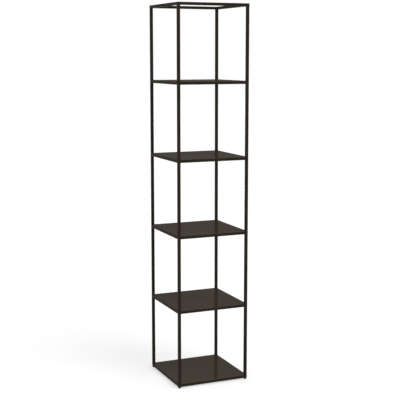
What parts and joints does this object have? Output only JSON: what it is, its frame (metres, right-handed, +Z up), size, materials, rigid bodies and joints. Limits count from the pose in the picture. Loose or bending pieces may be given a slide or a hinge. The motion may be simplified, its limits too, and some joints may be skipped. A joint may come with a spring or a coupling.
{
  "type": "open tower shelf",
  "caption": "Tall slim open tower shelf: thin square steel tube posts, flat sheet-steel shelves on rings of tube, an open top ring and small levelling feet.",
  "frame": {"origin": "on the floor, under the middle of the square footprint", "axes": "+Z up along the posts, -Y out of the front, +X to the right seen from the front"},
  "size_m": [0.406, 0.406, 2.039],
  "materials": {
    "tube_coat": "dark bronze-brown powder coat, satin, fine orange peel",
    "sheet_coat": "dark bronze-brown powder coat, satin, fine orange peel",
    "plug_plastic": "moulded black nylon, matt",
    "pad_plastic": "moulded black nylon, matt",
    "stud_steel": "black zinc plate, satin"
  },
  "bodies": {
    "frame": {"foot_plug_front_left": "plug_plastic", "foot_plug_front_right": "plug_plastic", "foot_plug_rear_left": "plug_plastic", "foot_plug_rear_right": "plug_plastic", "post_front_left": "tube_coat", "post_front_right": "tube_coat", "post_rear_left": "tube_coat", "post_rear_right": "tube_coat", "shelf_rail_front_1": "tube_coat", "shelf_rail_front_2": "tube_coat", "shelf_rail_front_3": "tube_coat", "shelf_rail_front_4": "tube_coat", "shelf_rail_front_5": "tube_coat", "shelf_rail_left_1": "tube_coat", "shelf_rail_left_2": "tube_coat", "shelf_rail_left_3": "tube_coat", "shelf_rail_left_4": "tube_coat", "shelf_rail_left_5": "tube_coat", "shelf_rail_rear_1": "tube_coat", "shelf_rail_rear_2": "tube_coat", "shelf_rail_rear_3": "tube_coat", "shelf_rail_rear_4": "tube_coat", "shelf_rail_rear_5": "tube_coat", "shelf_rail_right_1": "tube_coat", "shelf_rail_right_2": "tube_coat", "shelf_rail_right_3": "tube_coat", "shelf_rail_right_4": "tube_coat", "shelf_rail_right_5": "tube_coat", "shelf_sheet_1": "sheet_coat", "shelf_sheet_2": "sheet_coat", "shelf_sheet_3": "sheet_coat", "shelf_sheet_4": "sheet_coat", "shelf_sheet_5": "sheet_coat", "top_rail_front": "tube_coat", "top_rail_left": "tube_coat", "top_rail_rear": "tube_coat", "top_rail_right": "tube_coat"},
    "pad_front_left": {"foot_pad_front_left": "pad_plastic"},
    "stud_front_left": {"foot_stud_front_left": "stud_steel"},
    "pad_front_right": {"foot_pad_front_right": "pad_plastic"},
    "stud_front_right": {"foot_stud_front_right": "stud_steel"},
    "pad_rear_left": {"foot_pad_rear_left": "pad_plastic"},
    "stud_rear_left": {"foot_stud_rear_left": "stud_steel"},
    "pad_rear_right": {"foot_pad_rear_right": "pad_plastic"},
    "stud_rear_right": {"foot_stud_rear_right": "stud_steel"}
  },
  "joints": [
    {"name": "foot_height_front_left", "type": "slide", "parent": "frame", "child": "pad_front_left", "axis": [0, 0, -1], "range_m": [0, 0.008]},
    {"name": "foot_turn_front_left", "type": "hinge", "parent": "pad_front_left", "child": "stud_front_left", "pos_m": [-0.1955, -0.1955, 0.0042], "axis": [0, 0, -1], "range_deg": [0, 2880]},
    {"name": "foot_height_front_right", "type": "slide", "parent": "frame", "child": "pad_front_right", "axis": [0, 0, -1], "range_m": [0, 0.008]},
    {"name": "foot_turn_front_right", "type": "hinge", "parent": "pad_front_right", "child": "stud_front_right", "pos_m": [0.1955, -0.1955, 0.0042], "axis": [0, 0, -1], "range_deg": [0, 2880]},
    {"name": "foot_height_rear_left", "type": "slide", "parent": "frame", "child": "pad_rear_left", "axis": [0, 0, -1], "range_m": [0, 0.008]},
    {"name": "foot_turn_rear_left", "type": "hinge", "parent": "pad_rear_left", "child": "stud_rear_left", "pos_m": [-0.1955, 0.1955, 0.0042], "axis": [0, 0, -1], "range_deg": [0, 2880]},
    {"name": "foot_height_rear_right", "type": "slide", "parent": "frame", "child": "pad_rear_right", "axis": [0, 0, -1], "range_m": [0, 0.008]},
    {"name": "foot_turn_rear_right", "type": "hinge", "parent": "pad_rear_right", "child": "stud_rear_right", "pos_m": [0.1955, 0.1955, 0.0042], "axis": [0, 0, -1], "range_deg": [0, 2880]}
  ],
  "couplings": [
    {"joint": "foot_turn_front_left", "follows": "foot_height_front_left", "rad_per_m": 6283.2},
    {"joint": "foot_turn_front_right", "follows": "foot_height_front_right", "rad_per_m": 6283.2},
    {"joint": "foot_turn_rear_left", "follows": "foot_height_rear_left", "rad_per_m": 6283.2},
    {"joint": "foot_turn_rear_right", "follows": "foot_height_rear_right", "rad_per_m": 6283.2}
  ]
}
